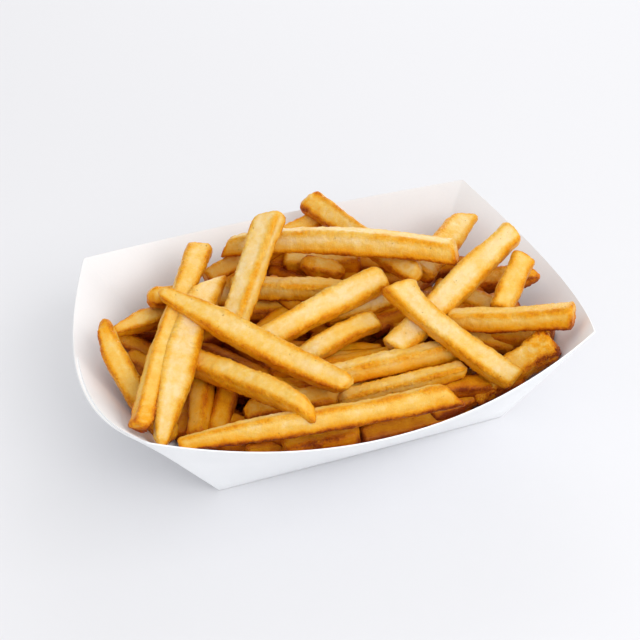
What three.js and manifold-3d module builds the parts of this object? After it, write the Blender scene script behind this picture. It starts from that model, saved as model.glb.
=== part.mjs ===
import * as THREE from 'three';
import { mergeVertices } from 'three/addons/utils/BufferGeometryUtils.js';
import Module from 'manifold-3d';

const wasm = await Module();
wasm.setup();

// All sizes are millimetres. The origin is the middle of the tray's base on the table, +X runs
// along the tray, -Y is its front.

const TRAY = {
  baseLength: 116, baseWidth: 82,
  rimLength: 168, rimWidth: 117, height: 48,
  sideBow: 17, sideDip: 9.5, // how far the middle of a long rim swells out and sinks
  endBow: 14.5, endDip: 13, // the same for the two end rims
  board: 0.5, steps: 14,
};

const LEVELS = [0, 0.5, 1]; // where the walls have a ring of corners, from the base to the rim
const GAP = 0.3; // left between the food and the paper board
const ROOM_REACH = 2; // the walls of the room for the food run on to this many times their height

// The heap under the fries that show, and the fries laid into it by rule.
const MOUND = { reach: 9, sink: 8.5, crest: 33, length: 168, width: 122, rings: 6, spokes: 26, still: 0.02 };
const UNDER = { count: 20, seed: 148, shortest: 34, longest: 62, reachX: 70, reachY: 50, sink: 7.5 };

// One fry: a stick of potato with chamfered edges. A tip under 1 narrows that end, bow lifts the
// middle, sweep pushes it sideways and roll turns the section, in degrees.
const FRY = { wide: 9.2, thick: 8.4, bow: 0, sweep: 0, roll: 0, tips: [0.92, 0.92] };
const CHAMFER = 0.24;

// Where the section is set along a fry and how much of its full size it has there. A straight fry
// needs only the ones at its ends.
const STATIONS = [[0, 0.8], [0.045, 1], [0.35, 1], [0.65, 1], [0.955, 1], [1, 0.8]];
const STRAIGHT = [0, 1, 4, 5];

// The fries that show, from the lowest to the highest, each by the middles of its two cut ends.
const FRIES = [
  { name: 'lowFrontLeft', from: [-46, -40, 13], to: [-10, -46, 15], roll: 40 },
  { name: 'lowFrontRight', from: [-4, -46, 14], to: [42, -45, 12], roll: 35 },
  { name: 'lowRight', from: [28, -37, 11], to: [66, -38, 17], roll: 12 },
  { name: 'lowFrontStub', from: [-34, -48, 19], to: [-6, -52, 21], roll: -8 },
  { name: 'lowLeft', from: [-80, 26, 31], to: [-56, 13, 15], roll: 30 },
  { name: 'lowLeftA', from: [-56, 4, 17], to: [-66, -26, 15], roll: 10 },
  { name: 'lowLeftB', from: [-47, 9, 24], to: [-62, -31, 18], bow: 2, roll: 20 },
  { name: 'lowLeftC', from: [-39, 0, 25], to: [-54, -30, 17], roll: -14 },
  { name: 'lowMiddleA', from: [-36, 29, 22], to: [8, 22, 22], roll: 25 },
  { name: 'lowMiddleB', from: [31, 20, 20], to: [46, -22, 22], roll: 20 },
  { name: 'lowBackA', from: [-20, 54, 32], to: [20, 43, 30] },
  { name: 'lowBackB', from: [66, 34, 27], to: [34, 12, 24], roll: -10 },
  { name: 'lowMiddleC', from: [20, 22, 27], to: [31, -14, 25] },
  { name: 'lowLeftFill', from: [-78, 16, 27], to: [-58, -6, 20] },
  { name: 'lowMiddleD', from: [-25, -20, 21], to: [22, -16, 22] },
  { name: 'lowMiddleE', from: [-20, 4, 22], to: [18, -14, 23], roll: 20 },
  { name: 'lowMiddleF', from: [-44, -10, 22], to: [-2, -24, 20], roll: 35 },
  { name: 'lowBackC', from: [8, 45, 32], to: [46, 25, 33], roll: 25 },
  { name: 'lowLeftD', from: [-58, 14, 26], to: [-30, 18, 28], roll: 15 },
  { name: 'lowBackD', from: [12, 34, 28], to: [45, 20, 28], roll: 10 },
  { name: 'lowLeftE', from: [-76, 30, 29], to: [-48, 22, 27], roll: 20 },
  { name: 'lowFrontC', from: [30, -40, 22], to: [62, -48, 22], roll: 15 },
  { name: 'lowKnob', from: [17, -3, 26], to: [33, 5, 29], tips: [0.9, 1.1], roll: 30 },
  { name: 'leftBack', from: [-82, 17, 39], to: [-39, 40, 26], thick: 7.6, bow: 1, tips: [0.5, 0.9], roll: 20 },
  { name: 'leftNub', from: [-65, 28, 44], to: [-28, 34, 31], wide: 9.6, tips: [0.9, 0.9], roll: 50 },
  { name: 'skinEnd', from: [42, -44, 18], to: [76, -44, 35], wide: 12, thick: 10, tips: [0.9, 1.1], roll: 25 },
  { name: 'rightUnder', from: [36, -12, 30], to: [67, -30, 25], roll: 25 },
  { name: 'knotted', from: [-43, -27, 22], to: [6, -32, 22], bow: 1, tips: [1, 0.9], roll: 25 },
  { name: 'rightLow', from: [48, 6, 34], to: [67.5, -19, 33], wide: 9.8, roll: 15 },
  { name: 'rightBrown', from: [58, 11, 30], to: [89, -7, 38], wide: 11.5, tips: [1.05, 0.4], roll: 20 },
  { name: 'stripMiddle', from: [-32, 28, 28], to: [12, 17, 28], thick: 7.6, roll: 15 },
  { name: 'midLevel', from: [-30, 33, 36], to: [19, 10, 36], wide: 10, thick: 9, bow: 1, roll: -8 },
  { name: 'shortBack', from: [-4, 45, 34], to: [27, 33, 35], tips: [0.9, 0.95], roll: 10 },
  { name: 'knobMiddle', from: [1, 37, 37], to: [18, 29, 34], wide: 8.6, tips: [0.9, 0.75], roll: 20 },
  { name: 'paleMiddle', from: [0, 4, 34], to: [36, 6, 33], roll: 30 },
  {
    name: 'lowDiagonal', from: [-19, -15, 30], to: [19, -4, 33], wide: 9.8, bow: 1.5,
    tips: [0.85, 0.95], roll: 22,
  },
  {
    name: 'longMiddle', from: [-13, -28, 31.5], to: [52, -30, 30], wide: 8.8, thick: 8.8,
    tips: [0.85, 0.95], roll: -8,
  },
  {
    name: 'frontRight', from: [-8, -36, 24.8], to: [42, -40, 29.2], wide: 8.4, thick: 7.4,
    tips: [0.9, 0.85], roll: -5,
  },
  { name: 'backCross', from: [19, 60, 42], to: [-38, 42, 36], wide: 10.4, tips: [0.9, 0.8], roll: -30 },
  { name: 'knobTop', from: [13.6, 65, 50], to: [41, 4, 42], wide: 10, thick: 8.4, tips: [1.3, 0.95], roll: 40 },
  { name: 'backRight', from: [76.5, 39.6, 41], to: [43, 9, 40], wide: 12.4, tips: [0.9, 0.95], roll: -20 },
  {
    name: 'palePointer', from: [81, 4, 55], to: [18.6, -23.4, 32], wide: 12, thick: 9,
    tips: [0.85, 1], roll: -25,
  },
  {
    name: 'rightLevel', from: [43, -19, 37], to: [84, -43, 45], wide: 9, thick: 9.4, bow: -1,
    tips: [0.85, 1.15], roll: -10,
  },
  { name: 'rightShort', from: [81, -7, 50], to: [62.3, -24.6, 40.1], wide: 10.4, tips: [1.05, 0.9], roll: -16 },
  {
    name: 'leftEdge', from: [-85, 17, 46], to: [-70.4, -28, 18.4], wide: 10, sweep: -3,
    tips: [0.6, 1], roll: 16,
  },
  {
    name: 'leftLong', from: [-38, 48, 48], to: [-84, -38, 37], wide: 7.4, thick: 6.8, bow: 1, sweep: -1.2,
    tips: [1.6, 1], roll: -25,
  },
  {
    name: 'frontLeft', from: [-59, 4, 30], to: [-23.2, -54, 38.2], wide: 9.6, thick: 9.6, bow: 2,
    tips: [0.95, 0.75], roll: 18,
  },
  {
    name: 'brightLeft', from: [-38, 27.8, 45.8], to: [-77, -44.4, 32], wide: 13.4, sweep: -3.6,
    tips: [1, 0.42], roll: -22,
  },
  {
    name: 'midDiagonal', from: [-33, -7, 36.6], to: [27, 7, 45], wide: 11.6, thick: 9,
    tips: [0.9, 1.08], roll: 31,
  },
  {
    name: 'backLong', from: [-27.3, 49.1, 45.5], to: [55.7, 2.1, 51.5], wide: 10.2, thick: 10.4, bow: 4.6,
    tips: [0.9, 1], roll: -17,
  },
  {
    name: 'leanTall', from: [-11, 35, 65], to: [-40, 0, 38], wide: 11.4, thick: 9.4,
    tips: [1.05, 0.95], roll: 12,
  },
  {
    name: 'rightCross', from: [26, -7.5, 50], to: [56.6, -52, 28], wide: 10.4, bow: -0.3, sweep: -2.6,
    tips: [1.15, 0.95], roll: 21,
  },
  {
    name: 'frontLong', from: [-72, -47, 33.4], to: [30, -56, 32.3], wide: 10, thick: 8.4, bow: -0.2,
    tips: [0.5, 0.95], roll: 62,
  },
  {
    name: 'ribbonLeft', from: [-61, 20, 52], to: [-5.5, -41.5, 35], wide: 11.8, bow: -1.2,
    tips: [0.45, 0.68], roll: 28,
  },
];

const paperBoard = new THREE.MeshStandardMaterial({ color: 0xf4f3f1, roughness: 0.75, metalness: 0 });
const friedPotato = new THREE.MeshStandardMaterial({ color: 0xe0a844, roughness: 0.6, metalness: 0 });

const vector = (x, y, z) => new THREE.Vector3(x, y, z);
const lerp = THREE.MathUtils.lerp;

// The four walls in turn, anticlockwise from above. Each runs between two straight creases and
// joins a straight base edge to a rim that swells out and sinks in its middle.
const WALLS = [
  { along: vector(1, 0, 0), out: vector(0, -1, 0), long: true },
  { along: vector(0, 1, 0), out: vector(1, 0, 0), long: false },
  { along: vector(-1, 0, 0), out: vector(0, 1, 0), long: true },
  { along: vector(0, -1, 0), out: vector(-1, 0, 0), long: false },
].map((wall) => ({ ...wall, ...wallSizes(wall.long) }));

function wallSizes(long) {
  const base = [TRAY.baseLength / 2, TRAY.baseWidth / 2];
  const rim = [TRAY.rimLength / 2, TRAY.rimWidth / 2];
  const [alongAt, outAt] = long ? [0, 1] : [1, 0];
  return {
    baseAlong: base[alongAt], baseOut: base[outAt],
    rimAlong: rim[alongAt], rimOut: rim[outAt],
    bow: long ? TRAY.sideBow : TRAY.endBow,
    dip: long ? TRAY.sideDip : TRAY.endDip,
  };
}

// A point on the outer face of a wall: across is -1 to 1 between the creases, up is 0 at the base
// and 1 at the rim.
function wallPoint(wall, across, up) {
  const swell = 1 - across * across;
  const along = across * lerp(wall.baseAlong, wall.rimAlong, up);
  const out = lerp(wall.baseOut, wall.rimOut + wall.bow * swell, up);
  const point = wall.along.clone().multiplyScalar(along);
  point.addScaledVector(wall.out, out);
  point.z = up * (TRAY.height - wall.dip * swell);
  return point;
}

function wallInward(wall, across, up) {
  const step = 0.001;
  const middle = wallPoint(wall, across, up);
  const sideways = wallPoint(wall, across + step, up).sub(middle);
  const upwards = wallPoint(wall, across, up + step).sub(middle);
  return upwards.cross(sideways).normalize();
}

// The step that moves a point the same distance in from two or three faces at once.
function mitre(faces, distance) {
  if (faces.length === 1) {
    return faces[0].clone().multiplyScalar(distance);
  }
  const [a, b] = faces;
  if (faces.length === 2) {
    return a.clone().add(b).multiplyScalar(distance / (1 + a.dot(b)));
  }
  const c = faces[2];
  const sum = b.clone().cross(c).add(c.clone().cross(a)).add(a.clone().cross(b));
  return sum.multiplyScalar(distance / a.dot(b.clone().cross(c)));
}

// One turn round the tray at a height, set in from the outer faces by a distance.
function trayRing(up, inset) {
  const ring = [];
  WALLS.forEach((wall, index) => {
    const before = WALLS[(index + WALLS.length - 1) % WALLS.length];
    for (let step = 0; step < TRAY.steps; step += 1) {
      const across = -1 + (2 * step) / TRAY.steps;
      const faces = [wallInward(wall, across, up)];
      if (step === 0) {
        faces.push(wallInward(before, 1, up));
      }
      if (up === 0) {
        faces.push(vector(0, 0, 1));
      }
      ring.push(wallPoint(wall, across, up).add(mitre(faces, inset)));
    }
  });
  return ring;
}

// A closed skin over rings of points, each end closed by a fan on a middle point. A twisted patch
// is split along its shorter diagonal, so that the two faces of a thin wall are split alike.
function loft(rings, firstMiddle = ringMiddle(rings[0]), lastMiddle = ringMiddle(rings.at(-1))) {
  const count = rings[0].length;
  const corners = [firstMiddle, ...rings.flat(), lastMiddle];
  const last = corners.length - 1;
  const faces = [];
  for (let side = 0; side < count; side += 1) {
    const next = (side + 1) % count;
    faces.push(0, 1 + next, 1 + side);
    for (let level = 0; level + 1 < rings.length; level += 1) {
      const low = 1 + level * count;
      const high = low + count;
      const rising = corners[low + side].distanceTo(corners[high + next]);
      const falling = corners[low + next].distanceTo(corners[high + side]);
      if (rising < falling) {
        faces.push(low + side, low + next, high + next);
        faces.push(low + side, high + next, high + side);
      } else {
        faces.push(low + side, low + next, high + side);
        faces.push(low + next, high + next, high + side);
      }
    }
    const top = last - count;
    faces.push(last, top + side, top + next);
  }
  const geometry = new THREE.BufferGeometry().setFromPoints(corners);
  geometry.setIndex(faces);
  return geometry;
}

function ringMiddle(ring) {
  return ring.reduce((sum, point) => sum.add(point), vector(0, 0, 0)).divideScalar(ring.length);
}

// The board's skin runs up the outside, over the rim and down the inside.
function trayGeometry() {
  const outside = LEVELS.map((up) => trayRing(up, 0));
  const inside = LEVELS.map((up) => trayRing(up, TRAY.board)).reverse();
  return loft([...outside, ...inside]);
}

// The space inside the tray, a gap away from the board and open far above the rim.
function roomGeometry() {
  return loft([...LEVELS, ROOM_REACH].map((up) => trayRing(up, TRAY.board + GAP)));
}

// How far the inner faces stand from the middle at a point's height, lengthways and sideways.
function roomHalf(wall, along, height) {
  let across = 0;
  let up = 0;
  for (let pass = 0; pass < 4; pass += 1) {
    up = height / (TRAY.height - wall.dip * (1 - across * across));
    across = THREE.MathUtils.clamp(along / lerp(wall.baseAlong, wall.rimAlong, up), -1, 1);
  }
  return lerp(wall.baseOut, wall.rimOut + wall.bow * (1 - across * across), up) - TRAY.board;
}

function insideRoom(point, clearance) {
  const halfWidth = roomHalf(WALLS[0], point.x, point.z);
  const halfLength = roomHalf(WALLS[1], point.y, point.z);
  const clear = Math.abs(point.y) + clearance < halfWidth && Math.abs(point.x) + clearance < halfLength;
  return clear && point.z > clearance;
}

function randomSource(seed) {
  let state = seed;
  return () => {
    state = (state * 16807) % 2147483647;
    return state / 2147483647;
  };
}

// The height that the fries' middles share round a place: each fry counts by how near it passes.
function heapLevel(x, y) {
  let weights = MOUND.still;
  let heights = 0;
  for (const { from, to } of FRIES) {
    const run = [to[0] - from[0], to[1] - from[1]];
    const ahead = (x - from[0]) * run[0] + (y - from[1]) * run[1];
    const share = THREE.MathUtils.clamp(ahead / (run[0] ** 2 + run[1] ** 2), 0, 1);
    const away = Math.hypot(x - from[0] - run[0] * share, y - from[1] - run[1] * share);
    const weight = Math.exp(-((away / MOUND.reach) ** 2));
    weights += weight;
    heights += weight * lerp(from[2], to[2], share);
  }
  return heights / weights;
}

function moundHeight(x, y) {
  const out = (2 * x / MOUND.length) ** 2 + (2 * y / MOUND.width) ** 2;
  const dome = MOUND.crest * Math.sqrt(Math.max(0, 1 - out));
  return Math.max(GAP, Math.min(heapLevel(x, y) - MOUND.sink, dome));
}

function moundGeometry() {
  const ring = (share, height) => Array.from({ length: MOUND.spokes }, (_, spoke) => {
    const turn = (spoke / MOUND.spokes) * 2 * Math.PI;
    const x = (Math.cos(turn) * share * MOUND.length) / 2;
    const y = (Math.sin(turn) * share * MOUND.width) / 2;
    return vector(x, y, height ?? moundHeight(x, y));
  });
  const rings = [ring(1, -1)];
  for (let step = MOUND.rings; step > 0; step -= 1) {
    rings.push(ring(step / (MOUND.rings + 0.5)));
  }
  return loft(rings, vector(0, 0, -1), vector(0, 0, moundHeight(0, 0)));
}

// Fries laid at random into the heap just under the ones that show.
function underFries() {
  const random = randomSource(UNDER.seed);
  const laid = [];
  while (laid.length < UNDER.count) {
    const x = (random() * 2 - 1) * UNDER.reachX;
    const y = (random() * 2 - 1) * UNDER.reachY;
    const heading = random() * Math.PI;
    const half = lerp(UNDER.shortest, UNDER.longest, random()) / 2;
    const ends = [-half, half].map((ahead) => {
      const endX = x + Math.cos(heading) * ahead;
      const endY = y + Math.sin(heading) * ahead;
      return vector(endX, endY, heapLevel(endX, endY) - UNDER.sink);
    });
    if (ends.every((end) => insideRoom(end, FRY.thick / 2))) {
      laid.push({ from: ends[0].toArray(), to: ends[1].toArray(), roll: random() * 40 });
    }
  }
  return laid;
}

function fryGeometry(settings) {
  const fry = { ...FRY, ...settings };
  const from = vector(...fry.from);
  const to = vector(...fry.to);
  const ahead = to.clone().sub(from).normalize();
  const side = vector(-ahead.y, ahead.x, 0).normalize();
  const top = ahead.clone().cross(side);
  const turn = THREE.MathUtils.degToRad(fry.roll);
  const section = sectionCorners(fry.wide / 2, fry.thick / 2);
  const bent = fry.bow !== 0 || fry.sweep !== 0;
  const stations = bent ? STATIONS : STRAIGHT.map((index) => STATIONS[index]);
  const rings = stations.map(([share, ease]) => {
    const arch = 4 * share * (1 - share);
    const middle = from.clone().lerp(to, share);
    middle.addScaledVector(top, fry.bow * arch).addScaledVector(side, fry.sweep * arch);
    const scale = ease * tipScale(fry.tips, share);
    return section.map(([across, high]) => {
      const x = (across * Math.cos(turn) - high * Math.sin(turn)) * scale;
      const z = (across * Math.sin(turn) + high * Math.cos(turn)) * scale;
      return middle.clone().addScaledVector(side, x).addScaledVector(top, z);
    });
  });
  return loft(rings);
}

// The eight corners of a chamfered section.
function sectionCorners(halfWide, halfThick) {
  const cut = CHAMFER * 2 * Math.min(halfWide, halfThick);
  const corners = [];
  for (const [signX, signZ, first] of [[1, 1, 0], [-1, 1, 1], [-1, -1, 0], [1, -1, 1]]) {
    const beside = [signX * halfWide, signZ * (halfThick - cut)];
    const above = [signX * (halfWide - cut), signZ * halfThick];
    corners.push(...(first ? [above, beside] : [beside, above]));
  }
  return corners;
}

// Full in the middle, narrowing over the last third to the tip at each end.
function tipScale([first, last], share) {
  const third = 1 / 3;
  if (share < third) {
    return lerp(first, 1, share / third);
  }
  return share > 1 - third ? lerp(last, 1, (1 - share) / third) : 1;
}

function toSolid(geometry) {
  const bare = geometry.clone();
  bare.deleteAttribute('normal');
  bare.deleteAttribute('uv');
  const merged = mergeVertices(bare, 1e-4);
  const triVerts = new Uint32Array(merged.index.array);
  return new wasm.Manifold(new wasm.Mesh({ numProp: 3, vertProperties: merged.attributes.position.array, triVerts }));
}

function toGeometry(solid) {
  const mesh = solid.getMesh();
  const geometry = new THREE.BufferGeometry();
  geometry.setAttribute('position', new THREE.BufferAttribute(new Float32Array(mesh.vertProperties), 3));
  geometry.setIndex(new THREE.BufferAttribute(new Uint32Array(mesh.triVerts), 1));
  return geometry;
}

// The heap is one body: the mound with every fry fused on, kept inside the room of the tray.
// Only the largest piece stays, so a crumb cut loose or a sealed hollow is left out.
function heapGeometry() {
  let heap = toSolid(moundGeometry());
  for (const fry of [...underFries(), ...FRIES]) {
    heap = heap.add(toSolid(fryGeometry(fry)));
  }
  const pieces = heap.intersect(toSolid(roomGeometry())).decompose();
  pieces.sort((a, b) => b.volume() - a.volume());
  return toGeometry(pieces[0]);
}

function named(name, geometry, material) {
  const mesh = new THREE.Mesh(geometry, material);
  mesh.name = name;
  return mesh;
}

const friesInTray = new THREE.Group();
friesInTray.add(named('tray', trayGeometry(), paperBoard));
friesInTray.add(named('fries', heapGeometry(), friedPotato));

export default friesInTray;
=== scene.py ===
import math
import random

import bmesh
import bpy
import numpy as np
from mathutils import Matrix, Vector


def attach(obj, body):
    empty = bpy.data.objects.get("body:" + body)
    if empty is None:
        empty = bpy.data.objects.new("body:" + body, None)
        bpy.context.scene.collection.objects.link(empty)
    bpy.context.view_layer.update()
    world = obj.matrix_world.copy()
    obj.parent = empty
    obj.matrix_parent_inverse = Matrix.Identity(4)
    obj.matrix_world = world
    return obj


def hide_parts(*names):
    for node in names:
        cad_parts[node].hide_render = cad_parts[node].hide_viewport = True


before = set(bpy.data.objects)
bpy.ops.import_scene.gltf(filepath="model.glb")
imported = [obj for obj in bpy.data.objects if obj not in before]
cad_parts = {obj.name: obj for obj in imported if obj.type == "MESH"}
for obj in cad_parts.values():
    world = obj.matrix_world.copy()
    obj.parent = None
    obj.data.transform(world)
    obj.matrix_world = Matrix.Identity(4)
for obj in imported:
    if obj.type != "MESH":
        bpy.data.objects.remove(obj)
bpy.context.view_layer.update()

mm = 0.001
tiny = 1e-6

# small helpers


def deselectAll():
    bpy.ops.object.select_all(action="DESELECT")


def makeActive(piece):
    deselectAll()
    piece.select_set(True)
    bpy.context.view_layer.objects.active = piece


def nameActive(name):
    piece = bpy.context.object
    piece.name = name
    piece.data.name = name
    return piece


def editPiece(piece, mode):
    makeActive(piece)
    bpy.ops.object.mode_set(mode="EDIT")
    bpy.ops.mesh.select_mode(type=mode)
    bpy.ops.mesh.select_all(action="DESELECT")


def leaveEdit():
    bpy.ops.object.mode_set(mode="OBJECT")


# what is verts, edges or faces
def pick(piece, what, test):
    shape = bmesh.from_edit_mesh(piece.data)
    for item in getattr(shape, what):
        item.select_set(test(item))
    shape.select_flush_mode()
    bmesh.update_edit_mesh(piece.data)


def applyAll(piece):
    makeActive(piece)
    for modifier in list(piece.modifiers):
        bpy.ops.object.modifier_apply(modifier=modifier.name)


def coordinates(piece):
    flat = np.empty(len(piece.data.vertices) * 3)
    piece.data.vertices.foreach_get("co", flat)
    return flat.reshape(-1, 3)


def setCoordinates(piece, points):
    piece.data.vertices.foreach_set("co", np.asarray(points).ravel())
    piece.data.update()


def smoothStep(low, high, value):
    share = np.clip((value - low) / (high - low), 0, 1)
    return share * share * (3 - 2 * share)


def joinPieces(pieces, name):
    makeActive(pieces[0])
    for piece in pieces:
        piece.select_set(True)
    if len(pieces) > 1:
        bpy.ops.object.join()
    return nameActive(name)


# node helpers


def newNode(tree, kind, place=(0, 0), **settings):
    node = tree.nodes.new(kind)
    node.location = place
    for key, value in settings.items():
        setattr(node, key, value)
    return node


def noise(tree, source, scale, detail=2.0, roughness=0.5, distortion=0.0):
    node = newNode(tree, "ShaderNodeTexNoise")
    node.inputs["Scale"].default_value = scale
    node.inputs["Detail"].default_value = detail
    node.inputs["Roughness"].default_value = roughness
    node.inputs["Distortion"].default_value = distortion
    tree.links.new(source, node.inputs["Vector"])
    return node.outputs["Fac"]


def maths(tree, operation, first, second=None, third=None, clamp=False):
    node = newNode(tree, "ShaderNodeMath", operation=operation, use_clamp=clamp)
    for socket, value in zip(node.inputs, (first, second, third)):
        if value is None:
            continue
        if isinstance(value, bpy.types.NodeSocket):
            tree.links.new(value, socket)
        else:
            socket.default_value = value
    return node.outputs[0]


def ramp(tree, value, fromLow, fromHigh, toLow=0.0, toHigh=1.0):
    node = newNode(tree, "ShaderNodeMapRange", interpolation_type="SMOOTHSTEP")
    limits = (fromLow, fromHigh, toLow, toHigh)
    for key, limit in zip(("From Min", "From Max", "To Min", "To Max"), limits):
        node.inputs[key].default_value = limit
    tree.links.new(value, node.inputs["Value"])
    return node.outputs["Result"]


def mixColour(tree, share, first, second):
    node = newNode(tree, "ShaderNodeMix", data_type="RGBA")
    for socket, value in ((node.inputs[0], share), (node.inputs[6], first), (node.inputs[7], second)):
        if isinstance(value, bpy.types.NodeSocket):
            tree.links.new(value, socket)
        else:
            socket.default_value = value
    return node.outputs[2]


def shades(tree, value, stops):
    node = newNode(tree, "ShaderNodeValToRGB")
    node.color_ramp.interpolation = "LINEAR"
    elements = node.color_ramp.elements
    while len(elements) < len(stops):
        elements.new(0.5)
    for element, (place, tint) in zip(elements, stops):
        element.position = place
        element.color = srgb(tint)
    tree.links.new(value, node.inputs["Fac"])
    return node.outputs["Color"]


def addBump(tree, height, shader, strength, distance):
    bump = newNode(tree, "ShaderNodeBump", (-250, -250))
    bump.inputs["Strength"].default_value = strength
    bump.inputs["Distance"].default_value = distance
    tree.links.new(height, bump.inputs["Height"])
    tree.links.new(bump.outputs["Normal"], shader.inputs["Normal"])


def newGroup(name, inputs, outputs):
    group = bpy.data.node_groups.new(name, "ShaderNodeTree")
    for label, kind, value in inputs:
        socket = group.interface.new_socket(name=label, in_out="INPUT", socket_type=kind)
        socket.default_value = value
    for label, kind in outputs:
        group.interface.new_socket(name=label, in_out="OUTPUT", socket_type=kind)
    return group, newNode(group, "NodeGroupInput"), newNode(group, "NodeGroupOutput")


def srgb(hexColour):
    parts = [int(hexColour[i:i + 2], 16) / 255 for i in (1, 3, 5)]
    linear = [part / 12.92 if part < 0.04045 else ((part + 0.055) / 1.055) ** 2.4 for part in parts]
    return (*linear, 1.0)


# paper tray: the wall formula gives every place on the board

trayBoard = dict(
    baseLength=116 * mm, baseWidth=82 * mm, rimLength=168 * mm, rimWidth=117 * mm,
    height=48 * mm, sideBow=17 * mm, sideDip=9.5 * mm, endBow=14.5 * mm, endDip=13 * mm,
    board=0.5 * mm, baseCuts=31, wallLevels=10, creaseRadius=0.7 * mm, creaseTurns=2, sharpAngle=28,
    flapBoard=0.4 * mm, flapGap=0.05 * mm, flapFoot=0.004, flapEdge=0.985, flapReach=0.2, flapTop=0.97,
    flapCuts=14,
)


def makeWalls():
    walls = []
    for along, out, isLong in (
        ((1, 0), (0, -1), True), ((0, 1), (1, 0), False),
        ((-1, 0), (0, 1), True), ((0, -1), (-1, 0), False),
    ):
        base = (trayBoard["baseLength"] / 2, trayBoard["baseWidth"] / 2)
        rim = (trayBoard["rimLength"] / 2, trayBoard["rimWidth"] / 2)
        a, o = (0, 1) if isLong else (1, 0)
        walls.append(dict(
            along=along, out=out, isLong=isLong,
            baseAlong=base[a], baseOut=base[o], rimAlong=rim[a], rimOut=rim[o],
            bow=trayBoard["sideBow"] if isLong else trayBoard["endBow"],
            dip=trayBoard["sideDip"] if isLong else trayBoard["endDip"],
        ))
    return walls


trayWalls = makeWalls()


def wallPoint(wall, across, up):
    swell = 1 - across * across
    along = across * (wall["baseAlong"] + (wall["rimAlong"] - wall["baseAlong"]) * up)
    out = wall["baseOut"] + (wall["rimOut"] + wall["bow"] * swell - wall["baseOut"]) * up
    x = wall["along"][0] * along + wall["out"][0] * out
    y = wall["along"][1] * along + wall["out"][1] * out
    return Vector((x, y, up * (trayBoard["height"] - wall["dip"] * swell)))


def wallInward(wall, across, up):
    step = 1e-3
    middle = wallPoint(wall, across, up)
    sideways = wallPoint(wall, across + step, up) - middle
    upwards = wallPoint(wall, across, up + step) - middle
    return upwards.cross(sideways).normalized()


# what share of a wall lies under a place and how far out the inner face stands, as in the CAD.
def wallReach(wall, along, height):
    across = 0.0
    for _ in range(4):
        up = height / (trayBoard["height"] - wall["dip"] * (1 - across * across))
        width = wall["baseAlong"] + (wall["rimAlong"] - wall["baseAlong"]) * up
        across = np.clip(along / width, -1, 1)
    out = wall["rimOut"] + wall["bow"] * (1 - across * across)
    return up, wall["baseOut"] + (out - wall["baseOut"]) * up - trayBoard["board"]


# which wall a point of the extruded box belongs to, and how far across it stands.
def onWall(point, level):
    halfLength, halfWidth = trayBoard["baseLength"] / 2, trayBoard["baseWidth"] / 2
    if abs(abs(point.y) - halfWidth) < tiny:
        wall = trayWalls[0] if point.y < 0 else trayWalls[2]
        return wallPoint(wall, point.x * wall["along"][0] / halfLength, level)
    wall = trayWalls[1] if point.x > 0 else trayWalls[3]
    return wallPoint(wall, point.y * wall["along"][1] / halfWidth, level)


def makeTrayBody():
    settings = trayBoard
    bpy.ops.mesh.primitive_plane_add(size=1)
    body = nameActive("trayBody")
    editPiece(body, "EDGE")
    bpy.ops.mesh.select_all(action="SELECT")
    bpy.ops.transform.resize(value=(settings["baseLength"], settings["baseWidth"], 1))
    bpy.ops.mesh.subdivide(number_cuts=settings["baseCuts"])
    pick(body, "edges", lambda edge: edge.is_boundary)
    rise = 1 / settings["wallLevels"]
    for _ in range(settings["wallLevels"]):
        bpy.ops.mesh.extrude_region_move(TRANSFORM_OT_translate={"value": (0, 0, rise)})
    bpy.ops.mesh.select_all(action="SELECT")
    bpy.ops.mesh.normals_make_consistent(inside=False)
    shape = bmesh.from_edit_mesh(body.data)
    crease = shape.edges.layers.float.new("crease_mark")
    corner = (settings["baseLength"] / 2, settings["baseWidth"] / 2)
    for edge in shape.edges:
        a, b = (vert.co for vert in edge.verts)
        atBase = a.z < tiny and b.z < tiny and all(
            abs(abs(p.x) - corner[0]) < tiny or abs(abs(p.y) - corner[1]) < tiny for p in (a, b)
        ) and len([f for f in edge.link_faces if f.normal.z ** 2 > 0.5]) == 1
        upright = all(
            abs(abs(p.x) - corner[0]) < tiny and abs(abs(p.y) - corner[1]) < tiny for p in (a, b)
        )
        edge[crease] = 1.0 if atBase or upright else 0.0
    for vert in shape.verts:
        if vert.co.z > tiny or vert.is_boundary:
            vert.co = onWall(vert.co, vert.co.z)
    bmesh.update_edit_mesh(body.data)
    pick(body, "edges", lambda edge: edge[crease] > 0.5)
    bpy.ops.mesh.bevel(offset=settings["creaseRadius"], segments=settings["creaseTurns"], affect="EDGES")
    leaveEdit()
    solidify = body.modifiers.new("board", "SOLIDIFY")
    solidify.thickness = settings["board"]
    solidify.offset = -1
    solidify.use_even_offset = True
    applyAll(body)
    return body


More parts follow.
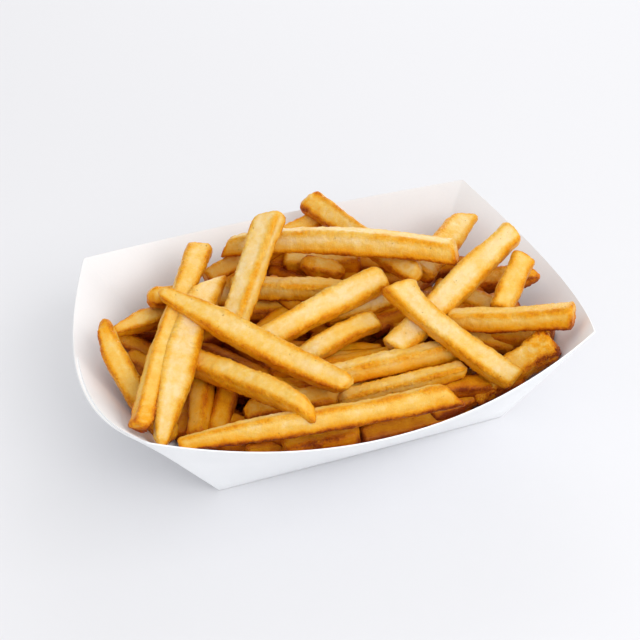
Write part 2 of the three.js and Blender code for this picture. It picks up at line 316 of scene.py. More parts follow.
# the glued gusset on an end wall: a triangle folded in along the corner crease.
def makeFlap(wall, side):
    settings = trayBoard
    bpy.ops.mesh.primitive_plane_add(size=1)
    flap = nameActive("trayFlap")
    editPiece(flap, "VERT")
    bpy.ops.mesh.select_all(action="SELECT")
    bpy.ops.mesh.subdivide(number_cuts=settings["flapCuts"])
    shape = bmesh.from_edit_mesh(flap.data)
    inset = settings["board"] + settings["flapGap"]
    for vert in shape.verts:
        up = (vert.co.y + 0.5) * settings["flapTop"] + settings["flapFoot"]
        share = (vert.co.x + 0.5) * up / settings["flapTop"]
        across = side * ((settings["flapReach"] + settings["flapEdge"]) * share - settings["flapEdge"])
        vert.co = wallPoint(wall, across, up) + wallInward(wall, across, up) * inset
    bmesh.update_edit_mesh(flap.data)
    bpy.ops.mesh.remove_doubles(threshold=tiny)
    leaveEdit()
    makeActive(flap)
    middle = flap.data.polygons[len(flap.data.polygons) // 2]
    if middle.normal.dot(wallInward(wall, 0, 0.5)) < 0:
        flap.data.flip_normals()
    solidify = flap.modifiers.new("board", "SOLIDIFY")
    solidify.thickness = settings["flapBoard"]
    solidify.offset = 1
    applyAll(flap)
    return flap


def makePaperTray():
    tray = joinPieces([makeTrayBody(), makeFlap(trayWalls[3], -1)], "paperTray")
    bpy.ops.object.shade_smooth_by_angle(angle=math.radians(trayBoard["sharpAngle"]))
    return tray


# where the fries lie

fryShape = dict(wide=9.2, thick=8.4, bow=0, sweep=0, roll=0, twist=0, tips=(0.92, 0.92), tone=0.3,
                brown=(0, 0), cuts=None, kind="squareCut")

fryRows = [
    # painted shade: the low rows' tone 0.5, and 0.68 for lowFrontC, darken the fries under the heap
    dict(name="lowFrontLeft", start=(-46, -40, 13), end=(-10, -46, 15), roll=40, kind="low", tone=0.5),
    dict(name="lowFrontRight", start=(-4, -46, 14), end=(42, -45, 12), roll=35, kind="low", tone=0.5),
    dict(name="lowRight", start=(28, -37, 11), end=(66, -38, 17), roll=12, kind="low", tone=0.5),
    dict(name="lowFrontStub", start=(-34, -48, 19), end=(-6, -52, 21), roll=-8, kind="low", tone=0.5),
    dict(name="lowLeft", start=(-80, 26, 31), end=(-56, 13, 15), roll=30, kind="low", tone=0.5),
    dict(name="lowLeftA", start=(-56, 4, 17), end=(-66, -26, 15), roll=10, kind="low", tone=0.5),
    dict(name="lowLeftB", start=(-47, 9, 24), end=(-62, -31, 18), bow=2, roll=20, kind="low", tone=0.5),
    dict(name="lowLeftC", start=(-39, 0, 25), end=(-54, -30, 17), roll=-14, kind="low", tone=0.5),
    dict(name="lowMiddleA", start=(-36, 29, 22), end=(8, 22, 22), roll=25, kind="low", tone=0.5),
    dict(name="lowMiddleB", start=(31, 20, 20), end=(46, -22, 22), roll=20, kind="low", tone=0.5),
    dict(name="lowBackA", start=(-20, 54, 32), end=(20, 43, 30), kind="low", tone=0.5),
    dict(name="lowBackB", start=(66, 34, 27), end=(34, 12, 24), roll=-10, kind="low", tone=0.5),
    dict(name="lowMiddleC", start=(20, 22, 27), end=(31, -14, 25), kind="low", tone=0.5),
    dict(name="lowLeftFill", start=(-78, 16, 27), end=(-58, -6, 20), kind="low", tone=0.5),
    dict(name="lowMiddleD", start=(-25, -20, 21), end=(22, -16, 22), kind="low", tone=0.5),
    dict(name="lowMiddleE", start=(-20, 4, 22), end=(18, -14, 23), kind="low", roll=20, tone=0.5),
    dict(name="lowMiddleF", start=(-44, -10, 22), end=(-2, -24, 20), kind="low", roll=35, tone=0.5),
    dict(name="lowBackC", start=(8, 45, 32), end=(46, 25, 33), kind="low", roll=25, tone=0.5),
    dict(name="lowLeftD", start=(-58, 14, 26), end=(-30, 18, 28), kind="low", roll=15, tone=0.5),
    dict(name="lowBackD", start=(12, 34, 28), end=(45, 20, 28), kind="low", roll=10, tone=0.5),
    dict(name="lowLeftE", start=(-76, 30, 29), end=(-48, 22, 27), kind="low", roll=20, tone=0.5),
    dict(name="lowFrontC", start=(30, -40, 22), end=(62, -48, 22), kind="low", roll=15, tone=0.68),
    dict(name="lowKnob", start=(17, -3, 26), end=(33, 5, 29), tips=(0.9, 1.1), roll=30, kind="knobbly",
         brown=(0.5, 0.5), tone=0.5),
    dict(name="leftBack", start=(-82, 17, 39), end=(-39, 40, 26), thick=7.6, bow=1, roll=20,
         tips=(0.5, 0.9), kind="tapered", tone=0.4),
    dict(name="leftNub", start=(-65, 28, 44), end=(-28, 34, 31), tips=(0.9, 0.9), roll=50, wide=9.6,
         kind="knobbly", brown=(0.05, 0), tone=0.2),
    dict(name="skinEnd", start=(42, -44, 18), end=(76, -44, 35), wide=12, thick=10, tips=(0.9, 1.1),
         roll=25, kind="skinOn", tone=0.45, brown=(0.5, 0.6)),
    dict(name="rightUnder", start=(36, -12, 30), end=(67, -30, 25), roll=25, tone=0.4),
    dict(name="knotted", start=(-43, -27, 22), end=(6, -32, 22), bow=1, roll=25, tips=(1, 0.9),
         kind="knobbly", brown=(0.3, 0), tone=0.35),
    dict(name="rightLow", start=(48, 6, 34), end=(67.5, -19, 33), wide=9.8, roll=15, tone=0.3),
    dict(name="rightBrown", start=(58, 11, 30), end=(89, -7, 38), roll=20, wide=11.5,
         tips=(1.05, 0.4), kind="tapered", tone=0.3, brown=(0.2, 0.2)),
    dict(name="stripMiddle", start=(-32, 28, 28), end=(12, 17, 28), thick=7.6, roll=15, tone=0.4),
    dict(name="midLevel", start=(-30, 33, 36), end=(19, 10, 36), wide=10, thick=9, bow=1, roll=-8,
         tone=0.35),
    dict(name="shortBack", start=(-4, 45, 34), end=(27, 33, 35), roll=10, tips=(0.9, 0.95), tone=0.4),
    dict(name="knobMiddle", start=(1, 37, 37), end=(18, 29, 34), wide=8.6, roll=20, tips=(0.9, 0.75),
         kind="knobbly", brown=(0.3, 0.1), tone=0.35),
    dict(name="paleMiddle", start=(0, 4, 34), end=(36, 6, 33), roll=30, tone=0.25),
    dict(name="lowDiagonal", start=(-19, -15, 30), end=(19, -4, 33), wide=9.8, bow=1.5, roll=22,
         tips=(0.85, 0.95), tone=0.26),
    dict(name="longMiddle", start=(-13, -28, 31.5), end=(52, -30, 30), wide=8.8, thick=8.8, roll=-8,
         tips=(0.85, 0.95), tone=0.3),
    dict(name="frontRight", start=(-8, -36, 24.8), end=(42, -40, 29.2), wide=8.4, thick=7.4, roll=-5,
         tips=(0.9, 0.85), kind="tapered", tone=0.35),
    dict(name="backCross", start=(19, 60, 42), end=(-38, 42, 36), wide=10.4, roll=-30, tips=(0.9, 0.8),
         cuts=((0.5, 0), (0, 0)), kind="slantCut", tone=0.4),
    dict(name="knobTop", start=(13.6, 65, 50), end=(41, 4, 42), wide=10, thick=8.4, roll=40,
         tips=(1.3, 0.95), kind="knobbly", brown=(0.3, 0), tone=0.27),
    dict(name="backRight", start=(76.5, 39.6, 41), end=(43, 9, 40), wide=12.4, roll=-20, tips=(0.9, 0.95),
         cuts=((0.75, 0), (0, 0)), kind="slantCut", tone=0.27),
    dict(name="palePointer", start=(81, 4, 55), end=(18.6, -23.4, 32), wide=12, thick=9, roll=-25,
         tips=(0.85, 1), tone=0.16),
    dict(name="rightLevel", start=(43, -19, 37), end=(84, -43, 45), wide=9, thick=9.4, bow=-1, roll=-10,
         tips=(0.85, 1.15), tone=0.3, brown=(0, 0.08)),
    dict(name="rightShort", start=(81, -7, 50), end=(62.3, -24.6, 40.1), wide=10.4, roll=-16,
         tips=(1.05, 0.9), tone=0.35),
    dict(name="leftEdge", start=(-85, 17, 46), end=(-70.4, -28, 18.4), wide=10, sweep=-3, roll=16,
         tips=(0.6, 1), tone=0.4, kind="tapered", brown=(0.25, 0)),
    dict(name="leftLong", start=(-38, 48, 48), end=(-84, -38, 37), wide=7.4, thick=6.8, bow=1, sweep=-1.2,
         roll=-25, twist=-28, tips=(1.6, 1), tone=0.4, brown=(0, 0.35)),
    dict(name="frontLeft", start=(-59, 4, 30), end=(-23.2, -54, 38.2), wide=9.6, thick=9.6, bow=2, roll=18,
         tips=(0.95, 0.75), cuts=((0, 0), (-0.7, -0.5)), kind="tapered", tone=0.34),
    dict(name="brightLeft", start=(-38, 27.8, 45.8), end=(-77, -44.4, 32), wide=13.4, sweep=-3.6, roll=-22,
         tips=(1, 0.42), cuts=((1.05, 0), (0, 0)), kind="tapered", tone=0.2),
    dict(name="midDiagonal", start=(-33, -7, 36.6), end=(27, 7, 45), wide=11.6, thick=9, roll=31,
         tips=(0.9, 1.08), cuts=((0, 0), (-0.1, 0)), kind="tapered", brown=(0, 0.2), tone=0.2),
    dict(name="backLong", start=(-27.3, 49.1, 45.5), end=(55.7, 2.1, 51.5), wide=10.2, thick=10.4,
         bow=4.6, roll=-17, tips=(0.9, 1), cuts=((0, -0.45), (0, -0.2)), kind="slantCut", tone=0.22),
    dict(name="leanTall", start=(-11, 35, 65), end=(-40, 0, 38), wide=11.4, thick=9.4, roll=12,
         tips=(1.05, 0.95), cuts=((0.36, 0), (0, 0)), kind="slantCut", tone=0.17),
    dict(name="rightCross", start=(26, -7.5, 50), end=(56.6, -52, 28), wide=10.4, bow=-0.3,
         sweep=-2.6, roll=21, tips=(1.15, 0.95), cuts=((-0.6, 0), (0, 0)), kind="slantCut", tone=0.22),
    dict(name="frontLong", start=(-72, -47, 33.4), end=(30, -56, 32.3), wide=10, thick=8.4,
         bow=-0.2, roll=62, tips=(0.5, 0.95), cuts=((0, 0), (-0.85, 0)), kind="slantCut", tone=0.32),
    dict(name="ribbonLeft", start=(-61, 20, 52), end=(-5.5, -41.5, 35), wide=11.8, bow=-1.2, roll=28,
         tips=(0.45, 0.68), cuts=((0, 0), (0.35, 0)), kind="tapered", tone=0.27),
]

heapRule = dict(reach=9, sink=8.5, still=0.02)
underRule = dict(count=20, seed=148, shortest=34, longest=62, reachX=70, reachY=50, sink=7.5, kind="low")
deepRule = dict(count=30, seed=5, shortest=34, longest=62, reachX=66, reachY=48, sink=15.5, kind="deep")


# the CAD has the same source, so the fries that it lays at random lie the same.
def randomSource(seed):
    factor, span = 16807, 2147483647
    state = [seed]

    def draw():
        state[0] = (state[0] * factor) % span
        return state[0] / span

    return draw


# the height in mm that the fries' middles share round a place, as the CAD works it out.
def heapLevel(x, y):
    weights, heights = heapRule["still"], 0.0
    for row in fryRows:
        start, end = row["start"], row["end"]
        run = (end[0] - start[0], end[1] - start[1])
        ahead = (x - start[0]) * run[0] + (y - start[1]) * run[1]
        share = min(1.0, max(0.0, ahead / (run[0] ** 2 + run[1] ** 2)))
        away = math.hypot(x - start[0] - run[0] * share, y - start[1] - run[1] * share)
        weight = math.exp(-((away / heapRule["reach"]) ** 2))
        weights += weight
        heights += weight * (start[2] + (end[2] - start[2]) * share)
    return heights / weights


# the same level on a grid, for many points at once.
levelGrid = dict(step=4, reachX=104, reachY=84, margin=2, fade=14)
levelMap = np.array([
    [heapLevel(x, y) for y in range(-levelGrid["reachY"], levelGrid["reachY"] + 1, levelGrid["step"])]
    for x in range(-levelGrid["reachX"], levelGrid["reachX"] + 1, levelGrid["step"])
])


# painted shade mask: 0 at the top of the heap, 1 deep between the fries, where the tone is darkened
def howDeep(points):
    grid, lowest, shares = levelGrid, [], []
    for axis, reach in ((0, grid["reachX"]), (1, grid["reachY"])):
        place = np.clip((points[:, axis] / mm + reach) / grid["step"], 0, levelMap.shape[axis] - 1.001)
        lowest.append(place.astype(int))
        shares.append(place - lowest[-1])
    (i, j), (u, v) = lowest, shares
    level = (levelMap[i, j] * (1 - u) + levelMap[i + 1, j] * u) * (1 - v)
    level += (levelMap[i, j + 1] * (1 - u) + levelMap[i + 1, j + 1] * u) * v
    return smoothStep(0, grid["fade"], level + grid["margin"] - points[:, 2] / mm)


def insideTray(point, clearance):
    x, y, z = point
    halfWidth = wallReach(trayWalls[0], x * mm, z * mm)[1] / mm
    halfLength = wallReach(trayWalls[1], y * mm, z * mm)[1] / mm
    return abs(y) + clearance < halfWidth and abs(x) + clearance < halfLength and z > clearance


# fills three gaps that would show the board, below the fries that the CAD has there.
deepRows = [
    dict(start=(24, -45, 14), end=(64, -42, 21), roll=20, kind="deep", tone=0.6),
    dict(start=(43, 31, 26), end=(77, 21, 27), wide=11, roll=15, kind="deep", tone=0.45),
    dict(start=(55, -21, 27), end=(81, -36, 30), roll=20, kind="deep", tone=0.4),
]


# fries laid at random under the ones that show, the upper ones by the same draws as in the CAD.
def underRows(rule):
    draw = randomSource(rule["seed"])
    rows = []
    while len(rows) < rule["count"]:
        x = (draw() * 2 - 1) * rule["reachX"]
        y = (draw() * 2 - 1) * rule["reachY"]
        heading = draw() * math.pi
        half = (rule["shortest"] + (rule["longest"] - rule["shortest"]) * draw()) / 2
        ends = []
        for ahead in (-half, half):
            endX, endY = x + math.cos(heading) * ahead, y + math.sin(heading) * ahead
            ends.append((endX, endY, heapLevel(endX, endY) - rule["sink"]))
        if all(insideTray(end, fryShape["thick"] / 2) for end in ends):
            # painted shade: the fries laid under the heap are toned 0.5, darker than those on top
            rows.append(dict(start=ends[0], end=ends[1], roll=draw() * 40, kind=rule["kind"], tone=0.5))
    return rows


# fries: one stick of each kind is modelled, and every fry is a bent copy of it

stickShape = dict(
    wide=9.2 * mm, thick=8.4 * mm, edgeBevel=2.8 * mm, capInset=0.9 * mm,
    capDent=0.3 * mm, capTilt=0.6, rigidEnd=10 * mm, cutReach=9 * mm, sink=0.2 * mm,
    wallGap=1.2 * mm, rimShare=1.02,
)

stickKinds = dict(
    squareCut=dict(endBevel=1.2 * mm, pull=0.6, endRound=(0.8, 2 * mm), ringGap=2.2 * mm, turns=3, level=2),
    slantCut=dict(endBevel=1.1 * mm, pull=0.55, endRound=(0.82, 2 * mm), ringGap=2.2 * mm, turns=3, level=2),
    tapered=dict(endBevel=2.3 * mm, pull=0.95, endRound=(0.5, 5 * mm), ringGap=2.2 * mm, turns=3, level=2),
    knobbly=dict(endBevel=2.5 * mm, pull=0.95, endRound=(0.6, 4.5 * mm), ringGap=2.2 * mm, turns=3, level=2),
    skinOn=dict(endBevel=1.5 * mm, pull=0.7, endRound=(0.7, 3 * mm), ringGap=2 * mm, turns=3, level=2),
    low=dict(endBevel=1.2 * mm, pull=0.6, endRound=(0.8, 2 * mm), ringGap=3 * mm, turns=2, level=1),
    deep=dict(endBevel=1.2 * mm, pull=0.6, endRound=(0.8, 2 * mm), ringGap=3.6 * mm, turns=2, level=1),
)


def makeStick(kind, length):
    settings = stickKinds[kind]
    shape = stickShape
    bpy.ops.mesh.primitive_cube_add(size=1)
    stick = nameActive("stick")
    editPiece(stick, "EDGE")
    bpy.ops.mesh.select_all(action="SELECT")
    bpy.ops.transform.resize(value=(length, shape["wide"], shape["thick"]))
    isLong = lambda edge: abs(edge.verts[0].co.x - edge.verts[1].co.x) > length / 2
    pick(stick, "edges", isLong)
    bpy.ops.mesh.bevel(offset=shape["edgeBevel"], segments=settings["turns"], affect="EDGES")
    bpy.ops.mesh.select_mode(type="FACE")
    pick(stick, "faces", lambda face: abs(face.normal.x) > shape["capTilt"])
    bpy.ops.mesh.inset(thickness=settings["endBevel"])
    bpy.ops.mesh.inset(thickness=shape["capInset"])
    leaveEdit()
    pushEnds(stick, length, settings)
    editPiece(stick, "EDGE")
    pick(stick, "edges", isLong)
    bpy.ops.mesh.subdivide(number_cuts=round(length / settings["ringGap"]))
    leaveEdit()
    subsurf = stick.modifiers.new("round", "SUBSURF")
    subsurf.levels = subsurf.render_levels = settings["level"]
    applyAll(stick)
    return stick


# rounds the cut ends over: the outer ring of each cap is pulled back and the middle dented.
def pushEnds(stick, length, settings):
    shape = stickShape
    points = coordinates(stick)
    halfSize = np.array((shape["wide"], shape["thick"])) / 2
    beyond = np.abs(points[:, 1:]) - halfSize + shape["edgeBevel"]
    outward = np.hypot(*np.maximum(beyond, 0).T)
    fromMiddle = np.max(np.abs(points[:, 1:]) / halfSize, axis=1)
    atCap = np.abs(points[:, 0]) > length / 4
    outer = atCap & (outward > 0.95 * shape["edgeBevel"])
    inner = atCap & (fromMiddle < 0.6)
    direction = np.sign(points[:, 0])
    points[outer, 0] -= direction[outer] * settings["endBevel"] * settings["pull"]
    points[inner, 0] -= direction[inner] * shape["capDent"]
    setCoordinates(stick, points)


# the tips' scale fades to 1 over the first and last third.
def tipScale(tips, share):
    third = 1 / 3
    first = tips[0] + (1 - tips[0]) * np.clip(share / third, 0, 1)
    last = tips[1] + (1 - tips[1]) * np.clip((1 - share) / third, 0, 1)
    return np.where(share < 0.5, first, last)


# how uneven the fries are: pairs are a share of the size and a number of waves.
sway = dict(
    wide=((0.045, 7), (0.025, 15)), thick=((0.05, 6), (0.03, 13)), weave=(0.004, 8),
    skew=0.1, cut=0.2, twist=9,
)

# how the fries are toned: pale on top of the heap, darker on each fry's lower side and deep down as painted
# shade, and browner near browned ends
browningAndShade = dict(share=0.85, pale=0.08, undersideShade=0.42, deep=0.33, fullTo=3 * mm, fadedAt=15 * mm)


def uneven(share, waves, phases):
    return 1 + sum(size * np.sin(share * turns + phase) for (size, turns), phase in zip(waves, phases))


# bends a copy of the stick from one cut end's middle to the other's.
def layStick(stick, stickLength, row):
    fry = {**fryShape, **row}
    chance = random.Random(str(row["start"]))
    start, end = Vector(fry["start"]) * mm, Vector(fry["end"]) * mm
    length = (end - start).length
    ahead = (end - start).normalized()
    side = Vector((-ahead.y, ahead.x, 0)).normalized()
    top = ahead.cross(side)
    points = coordinates(stick)
    half, newHalf = stickLength / 2, length / 2
    rigid = min(stickShape["rigidEnd"], newHalf * 0.6)
    x, y, z = points.T
    fromEnd = half - np.abs(x)
    middle = (newHalf - rigid) / (half - rigid)
    newX = np.sign(x) * np.where(fromEnd < rigid, newHalf - fromEnd, np.abs(x) * middle)
    share = newX / length + 0.5
    halfWide, halfThick = stickShape["wide"] / 2, stickShape["thick"] / 2
    flatY, flatZ = np.abs(y) / halfWide, np.abs(z) / halfThick
    edge = smoothStep(0.35, 0.8, np.minimum(flatY, flatZ))
    hollow = 1 - stickShape["sink"] / halfThick * (1 - edge) * smoothStep(0, 5 * mm, fromEnd)
    phases = [chance.random() * 2 * math.pi for _ in range(5)]
    least, roundReach = stickKinds[fry["kind"]]["endRound"]
    inside = np.clip(fromEnd / roundReach, 0, 1)
    rounded = least + (1 - least) * np.sqrt(1 - (1 - inside) ** 2)
    scale = tipScale(fry["tips"], np.clip(share, 0, 1)) * hollow * rounded
    y = y * scale * uneven(share, sway["wide"], phases[:2]) * fry["wide"] * mm / stickShape["wide"]
    z = z * scale * uneven(share, sway["thick"], phases[2:4]) * fry["thick"] * mm / stickShape["thick"]
    y = y + chance.uniform(-sway["skew"], sway["skew"]) * z
    loose = [[chance.uniform(-sway["cut"], sway["cut"]) for _ in range(2)] for _ in range(2)]
    for sign, cut in zip((-1, 1), fry["cuts"] or loose):
        cutReach = stickShape["cutReach"] * max(1.0, 1.5 * abs(cut[0]))
        near = 1 - smoothStep(0, cutReach, half - sign * x)
        newX = newX + sign * near * (cut[0] * y + cut[1] * z)
    fibre = np.stack([newX * 0.35, y, z], 1) + [chance.random() for _ in range(3)]
    twist = fry["twist"] or chance.uniform(-sway["twist"], sway["twist"])
    turn = math.radians(fry["roll"]) + math.radians(twist) * (share - 0.5)
    across = y * np.cos(turn) - z * np.sin(turn)
    high = y * np.sin(turn) + z * np.cos(turn)
    arch = 4 * share * (1 - share)
    weave = sway["weave"][0] * length * np.sin(share * sway["weave"][1] + phases[4])
    across = across + fry["sweep"] * mm * arch + weave
    high = high + fry["bow"] * mm * arch
    centre = np.array((start + end) / 2)
    placed = centre + newX[:, None] * np.array(ahead)
    placed += across[:, None] * np.array(side) + high[:, None] * np.array(top)
    laid = stick.copy()
    laid.data = stick.data.copy()
    bpy.context.collection.objects.link(laid)
    setCoordinates(laid, keepInTray(placed))
    browned = np.zeros(len(x))
    for sign, amount in zip((-1, 1), fry["brown"]):
        faded = smoothStep(browningAndShade["fullTo"], browningAndShade["fadedAt"], half - sign * x)
        browned = np.maximum(browned, amount * (1 - faded))
    capped = 1 - smoothStep(0.4 * mm, 2.2 * mm, fromEnd)
    rim = (1 - smoothStep(0.4 * mm, 2.6 * mm, fromEnd)) * smoothStep(0.55, 0.9, np.maximum(flatY, flatZ))
    edge = np.maximum(edge, rim)
    # the crust attribute holds edge share, browned ends, the tone with its painted shade, and the cap share
    crustAndShade = laid.data.color_attributes.new(name="crustAndShade", type="FLOAT_COLOR", domain="POINT")
    # painted shade: the lower side of each fry's section is toned darker, as where it lies in shade
    undersideShade = 1 - smoothStep(-0.6, 0.8, (high - fry["bow"] * mm * arch) / (fry["thick"] * mm / 2))
    tone = browningAndShade["share"] * fry["tone"] - browningAndShade["pale"]
    # painted shade: tone darker on the lower side and deep in the heap
    tone = tone + browningAndShade["undersideShade"] * undersideShade + browningAndShade["deep"] * howDeep(placed)
    crustAndShade.data.foreach_set("color", np.stack([edge, browned, tone, capped], 1).ravel())
    grain = laid.data.attributes.new("fibre", "FLOAT_VECTOR", "POINT")
    grain.data.foreach_set("vector", fibre.ravel())
    return laid


# presses what would pass through the board against its inner face.
def keepInTray(points):
    kept = points.copy()
    for wall, axis in ((trayWalls[0], 1), (trayWalls[1], 0)):
        up, half = wallReach(wall, points[:, 1 - axis], np.maximum(points[:, 2], 0))
        limit = half - stickShape["wallGap"]
        low = up < stickShape["rimShare"]
        kept[low, axis] = np.clip(points[low, axis], -limit[low], limit[low])
    return kept


crustRelief = (  # name, size, strength and where
    ("wobble", 13 * mm, 0.9 * mm, None),
    ("knobs", 5 * mm, 3 * mm, "browned"),
    ("ripple", 5 * mm, 0.7 * mm, None),
    ("blister", 2.2 * mm, 0.5 * mm, None),
    ("crumbs", 1.1 * mm, 0.6 * mm, "edges"),
)


# uneven crust: a slow wobble, a fine blister and crumbs along the edges.
def crumble(piece):
    flat = np.empty(len(piece.data.vertices) * 4)
    piece.data.color_attributes["crustAndShade"].data.foreach_get("color", flat)
    flat = flat.reshape(-1, 4)
    levels = 6
    for label, channel in (("edges", 0), ("browned", 1)):
        group = piece.vertex_groups.new(name=label)
        steps = np.round(flat[:, channel] * levels).astype(int)
        for step in range(1, levels + 1):
            group.add(np.nonzero(steps == step)[0].tolist(), step / levels, "REPLACE")
    for name, size, strength, label in crustRelief:
        texture = bpy.data.textures.new(name, "CLOUDS")
        texture.noise_scale = size
        texture.noise_depth = 2
        modifier = piece.modifiers.new(name, "DISPLACE")
        modifier.texture = texture
        modifier.texture_coords = "GLOBAL"
        modifier.strength = strength
        modifier.mid_level = 0.5
        if label:
            modifier.vertex_group = label
    applyAll(piece)
    piece.vertex_groups.clear()


# shorter fries use a shorter stick, so that the rings stay about as close.
stickLengths = ((50, 40), (78, 64), (math.inf, 92))


def makeFries():
    laid = {}
    sticks = {}
    for row in [*fryRows, *underRows(underRule), *underRows(deepRule), *deepRows]:
        kind = row.get("kind", "squareCut")
        length = (Vector(row["end"]) - Vector(row["start"])).length
        stickLength = next(size for limit, size in stickLengths if length < limit) * mm
        if (kind, stickLength) not in sticks:
            sticks[kind, stickLength] = makeStick(kind, stickLength)
        fry = layStick(sticks[kind, stickLength], stickLength, row)
        laid.setdefault(kind, []).append(fry)
    pieces = []
    for kind, members in laid.items():
        piece = joinPieces(members, "fries" + kind[0].upper() + kind[1:])
        crumble(piece)
        makeActive(piece)
        bpy.ops.object.shade_smooth()
        pieces.append(piece)
        print(piece.name, len(members), "fries", len(piece.data.polygons) * 2, "triangles")
    for stick in sticks.values():
        bpy.data.objects.remove(stick)
    return pieces


# painted shade: a dark bed of fries and crumbs, toned like fries in shade, that shows only in the gaps

bedShape = dict(
    cuts=22, floor=1.2 * mm, least=1 * mm, sink=19, crest=17 * mm,
    halfLength=52 * mm, halfWidth=38 * mm, crustAndShade=(0.4, 0.5, 0.8, 0),
)


def makeBed():
    shape = bedShape
    bpy.ops.mesh.primitive_cube_add(size=2)
    bed = nameActive("shadedFriesBed")
    editPiece(bed, "VERT")
    bpy.ops.mesh.select_all(action="SELECT")
    bpy.ops.mesh.subdivide(number_cuts=shape["cuts"])
    leaveEdit()
    points = coordinates(bed)
    placed = []
    for x, y, z in points:
        lift = (z + 1) / 2
        px = x * math.sqrt(1 - y * y / 2) * shape["halfLength"]
        py = y * math.sqrt(1 - x * x / 2) * shape["halfWidth"]
        dome = shape["crest"] * math.sqrt(max(0, (1 - x * x) * (1 - y * y)))
        level = (heapLevel(px / mm, py / mm) - shape["sink"]) * mm
        height = max(shape["least"], min(level, dome))
        placed.append((px, py, shape["floor"] + height * lift))
    setCoordinates(bed, placed)
    # painted shade: the bed's tone 0.8 and browning 0.5 make it dark like fries in shade
    crustAndShade = bed.data.color_attributes.new(name="crustAndShade", type="FLOAT_COLOR", domain="POINT")
    crustAndShade.data.foreach_set("color", np.tile(shape["crustAndShade"], len(placed)))
    fibre = bed.data.attributes.new("fibre", "FLOAT_VECTOR", "POINT")
    fibre.data.foreach_set("vector", np.array(placed).ravel())
    makeActive(bed)
    bpy.ops.object.shade_smooth()
    return bed


# finishes

crustShades = ((0.0, "#efd39b"), (0.22, "#ecbf5c"), (0.48, "#eaa114"), (0.75, "#d07204"), (1.0, "#8c3400"))


# colour, roughness and relief of fried potato, from pale faces to browned edges, darkened where the tone and
# Toast carry painted shade
def makeCrustGroup():
    group, given, out = newGroup(
        "friedCrust",
        [
            ("ToastAndShade", "NodeSocketFloat", 0.0),
            ("Mottle", "NodeSocketFloat", 1.0),
            ("Freckle", "NodeSocketFloat", 1.0),
        ],
        [
            ("Colour", "NodeSocketColor"),
            ("Roughness", "NodeSocketFloat"),
            ("Relief", "NodeSocketFloat"),
        ],
    )
    place = newNode(group, "ShaderNodeTexCoord").outputs["Object"]
    attribute = newNode(group, "ShaderNodeAttribute", attribute_name="crustAndShade")
    split = newNode(group, "ShaderNodeSeparateColor")
    group.links.new(attribute.outputs["Color"], split.inputs[0])
    # the tone channel carries the painted shade of lower sides and of fries deep in the heap
    edge, browned, tone = split.outputs[0], split.outputs[1], split.outputs[2]
    capped = attribute.outputs["Alpha"]
    along = newNode(group, "ShaderNodeAttribute", attribute_name="fibre").outputs["Vector"]
    broad = noise(group, place, 90, 3, 0.55)
    streak = noise(group, along, 420, 3, 0.6)
    patch = noise(group, place, 330, 3, 0.6, 0.4)
    grain = noise(group, place, 950, 3, 0.6)
    sugar = noise(group, place, 2300, 2, 0.6)
    fleck = noise(group, place, 640, 1, 0.5)

    edgeBroken = maths(group, "MULTIPLY", edge, ramp(group, broad, 0.36, 0.6, 0.7, 1.0))
    toastAndShade = maths(group, "ADD", tone, given.outputs["ToastAndShade"])
    toastAndShade = maths(group, "MULTIPLY_ADD", edgeBroken, 0.36, toastAndShade)
    crisp = maths(group, "MULTIPLY", maths(group, "MULTIPLY_ADD", edge, 0.6, 0.4), given.outputs["Freckle"])
    soft = given.outputs["Mottle"]
    shifts = (
        (broad, 0.5, soft), (streak, 0.2, soft), (patch, 0.36, soft),
        (grain, 0.35, crisp), (sugar, 0.44, crisp),
    )
    for shade, share, amount in shifts:
        shift = maths(group, "MULTIPLY", maths(group, "SUBTRACT", shade, 0.5), amount)
        toastAndShade = maths(group, "MULTIPLY_ADD", shift, share, toastAndShade)
    toastAndShade = maths(group, "MULTIPLY_ADD", capped, 0.05, toastAndShade)
    brownNoise = maths(group, "MULTIPLY", browned, ramp(group, patch, 0.3, 0.62, 0.35, 1.0))
    toastAndShade = maths(group, "MULTIPLY_ADD", brownNoise, 0.6, toastAndShade, clamp=True)

    colour = shades(group, toastAndShade, crustShades)
    speck = maths(group, "MULTIPLY", ramp(group, fleck, 0.74, 0.8), 0.5)
    colour = mixColour(group, speck, colour, srgb("#84470f"))
    group.links.new(colour, out.inputs["Colour"])
    group.links.new(ramp(group, grain, 0.3, 0.7, 0.24, 0.48), out.inputs["Roughness"])
    relief = maths(group, "MULTIPLY_ADD", sugar, 0.6, grain)
    relief = maths(group, "MULTIPLY", relief, maths(group, "MULTIPLY_ADD", edge, 0.7, 0.6))
    group.links.new(relief, out.inputs["Relief"])
    return group


crustLook = {
    "Specular IOR Level": 0.25, "Specular Tint": (1.0, 0.8, 0.4, 1.0),
    "Coat Weight": 0.08, "Coat Roughness": 0.18,
    "Subsurface Weight": 0.25, "Subsurface Radius": (1.0, 0.8, 0.12), "Subsurface Scale": 2 * mm,
}


def crustMaterial(name, group, values):
    material = bpy.data.materials.new(name)
    material.use_nodes = True
    tree = material.node_tree
    shader = tree.nodes["Principled BSDF"]
    crustAndShade = newNode(tree, "ShaderNodeGroup", (-500, 0), node_tree=group)
    for key, value in values.items():
        crustAndShade.inputs[key].default_value = value
    tree.links.new(crustAndShade.outputs["Colour"], shader.inputs["Base Color"])
    tree.links.new(crustAndShade.outputs["Roughness"], shader.inputs["Roughness"])
    addBump(tree, crustAndShade.outputs["Relief"], shader, 1.0, 0.5 * mm)
    for key, value in crustLook.items():
        shader.inputs[key].default_value = value
    return material


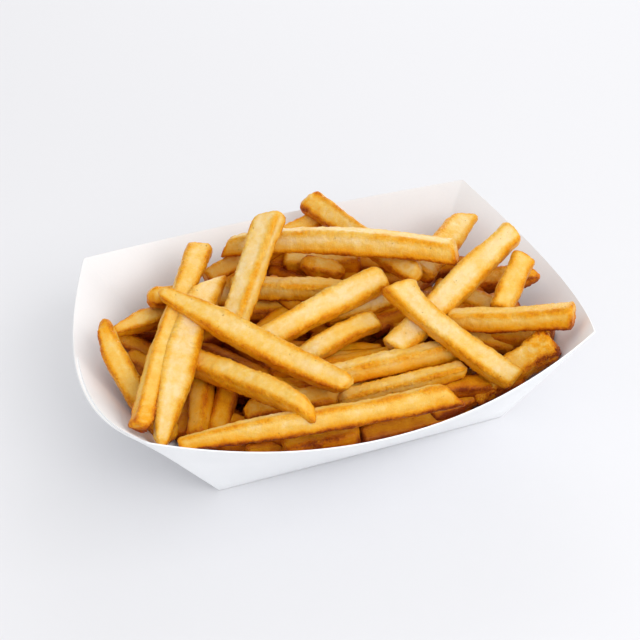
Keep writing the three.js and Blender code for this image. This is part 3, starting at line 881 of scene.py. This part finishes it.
def paperMaterial():
    material = bpy.data.materials.new("whitePaperboard")
    material.use_nodes = True
    tree = material.node_tree
    shader = tree.nodes["Principled BSDF"]
    place = newNode(tree, "ShaderNodeTexCoord").outputs["Object"]
    fibre = noise(tree, place, 1400, 3, 0.65)
    cloud = noise(tree, place, 60, 2, 0.5)
    shade = maths(tree, "MULTIPLY_ADD", fibre, 0.5, maths(tree, "MULTIPLY", cloud, 0.5))
    colour = mixColour(tree, shade, srgb("#ebedef"), srgb("#f6f7f9"))
    tree.links.new(colour, shader.inputs["Base Color"])
    tree.links.new(ramp(tree, fibre, 0.3, 0.7, 0.62, 0.78), shader.inputs["Roughness"])
    addBump(tree, fibre, shader, 0.12, 0.06 * mm)
    shader.inputs["Specular IOR Level"].default_value = 0.3
    return material


# Toast above 0 on the low, deep and bed pieces is painted shade, toning the fries under the heap darker; the
# other pieces' values are crust colour
kindCrustAndShade = dict(
    friesSquareCut=dict(ToastAndShade=0.0),
    friesSlantCut=dict(ToastAndShade=0.0),
    friesTapered=dict(ToastAndShade=-0.02),
    friesKnobbly=dict(ToastAndShade=0.05, Mottle=1.3),
    friesSkinOn=dict(ToastAndShade=-0.12, Mottle=1.5, Freckle=1.6),
    friesLow=dict(ToastAndShade=0.08),
    friesDeep=dict(ToastAndShade=0.1),
    shadedFriesBed=dict(ToastAndShade=0.25, Mottle=1.5),
)


# studio: floor, light and camera

studio = dict(
    floorSize=6.0, floorColour="#e2e2e5", worldColour="#ffffff", worldStrength=0.86,
    lights=(  # name, azimuth and height in degrees, distance, size, power
        ("keyLight", -70, 40, 1.3, 0.7, 5.2),
        ("frontLight", -95, 10, 1.3, 0.7, 1.6),
        ("sideLight", -25, 40, 1.3, 0.7, 2.3),
        ("backLight", 65, 20, 1.3, 0.7, 3.6),
    ),
    cameraPlace=(-0.1201, -0.3632, 0.3260), cameraAim=(0.00249, 0.01704, 0.02234),
    cameraRoll=-1.95, cameraLens=68.9, cameraSensor=36, cameraNear=0.01,
)


def makeStudio():
    settings = studio
    deselectAll()
    bpy.ops.mesh.primitive_plane_add(size=settings["floorSize"])
    floor = nameActive("studioFloor")
    material = bpy.data.materials.new("paleFloor")
    material.use_nodes = True
    shader = material.node_tree.nodes["Principled BSDF"]
    shader.inputs["Base Color"].default_value = srgb(settings["floorColour"])
    shader.inputs["Roughness"].default_value = 0.9
    shader.inputs["Specular IOR Level"].default_value = 0.1
    floor.data.materials.append(material)

    world = bpy.data.worlds.new("studioWorld")
    bpy.context.scene.world = world
    world.use_nodes = True
    background = world.node_tree.nodes["Background"]
    background.inputs["Color"].default_value = srgb(settings["worldColour"])
    background.inputs["Strength"].default_value = settings["worldStrength"]

    for name, azimuth, height, distance, size, power in settings["lights"]:
        turn, tilt = math.radians(azimuth), math.radians(height)
        level = math.cos(tilt)
        place = Vector((math.cos(turn) * level, math.sin(turn) * level, math.sin(tilt))) * distance
        bpy.ops.object.light_add(type="AREA", location=place)
        light = nameActive(name)
        light.data.energy = power
        light.data.size = size
        light.rotation_euler = (-place).to_track_quat("-Z", "Y").to_euler()

    place, aim = Vector(settings["cameraPlace"]), Vector(settings["cameraAim"])
    bpy.ops.object.camera_add(location=place)
    camera = nameActive("camera")
    camera.data.lens = settings["cameraLens"]
    camera.data.sensor_width = settings["cameraSensor"]
    camera.data.clip_start = settings["cameraNear"]
    turn = (aim - place).to_track_quat("-Z", "Y").to_matrix()
    roll = Matrix.Rotation(math.radians(settings["cameraRoll"]), 3, "Z")
    camera.rotation_euler = (turn @ roll).to_euler()
    bpy.context.scene.camera = camera
    bpy.context.scene.view_settings.view_transform = "Standard"


# putting it together

tray = makePaperTray()
tray.data.materials.clear()
tray.data.materials.append(paperMaterial())
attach(tray, "root")
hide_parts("tray")
print("paper tray made")

crustGroup = makeCrustGroup()
for piece in [*makeFries(), makeBed()]:
    piece.data.materials.clear()
    piece.data.materials.append(crustMaterial(piece.name + "Crust", crustGroup, kindCrustAndShade[piece.name]))
    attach(piece, "root")
    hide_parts("fries")
print("fries laid")

makeStudio()
print("studio ready")
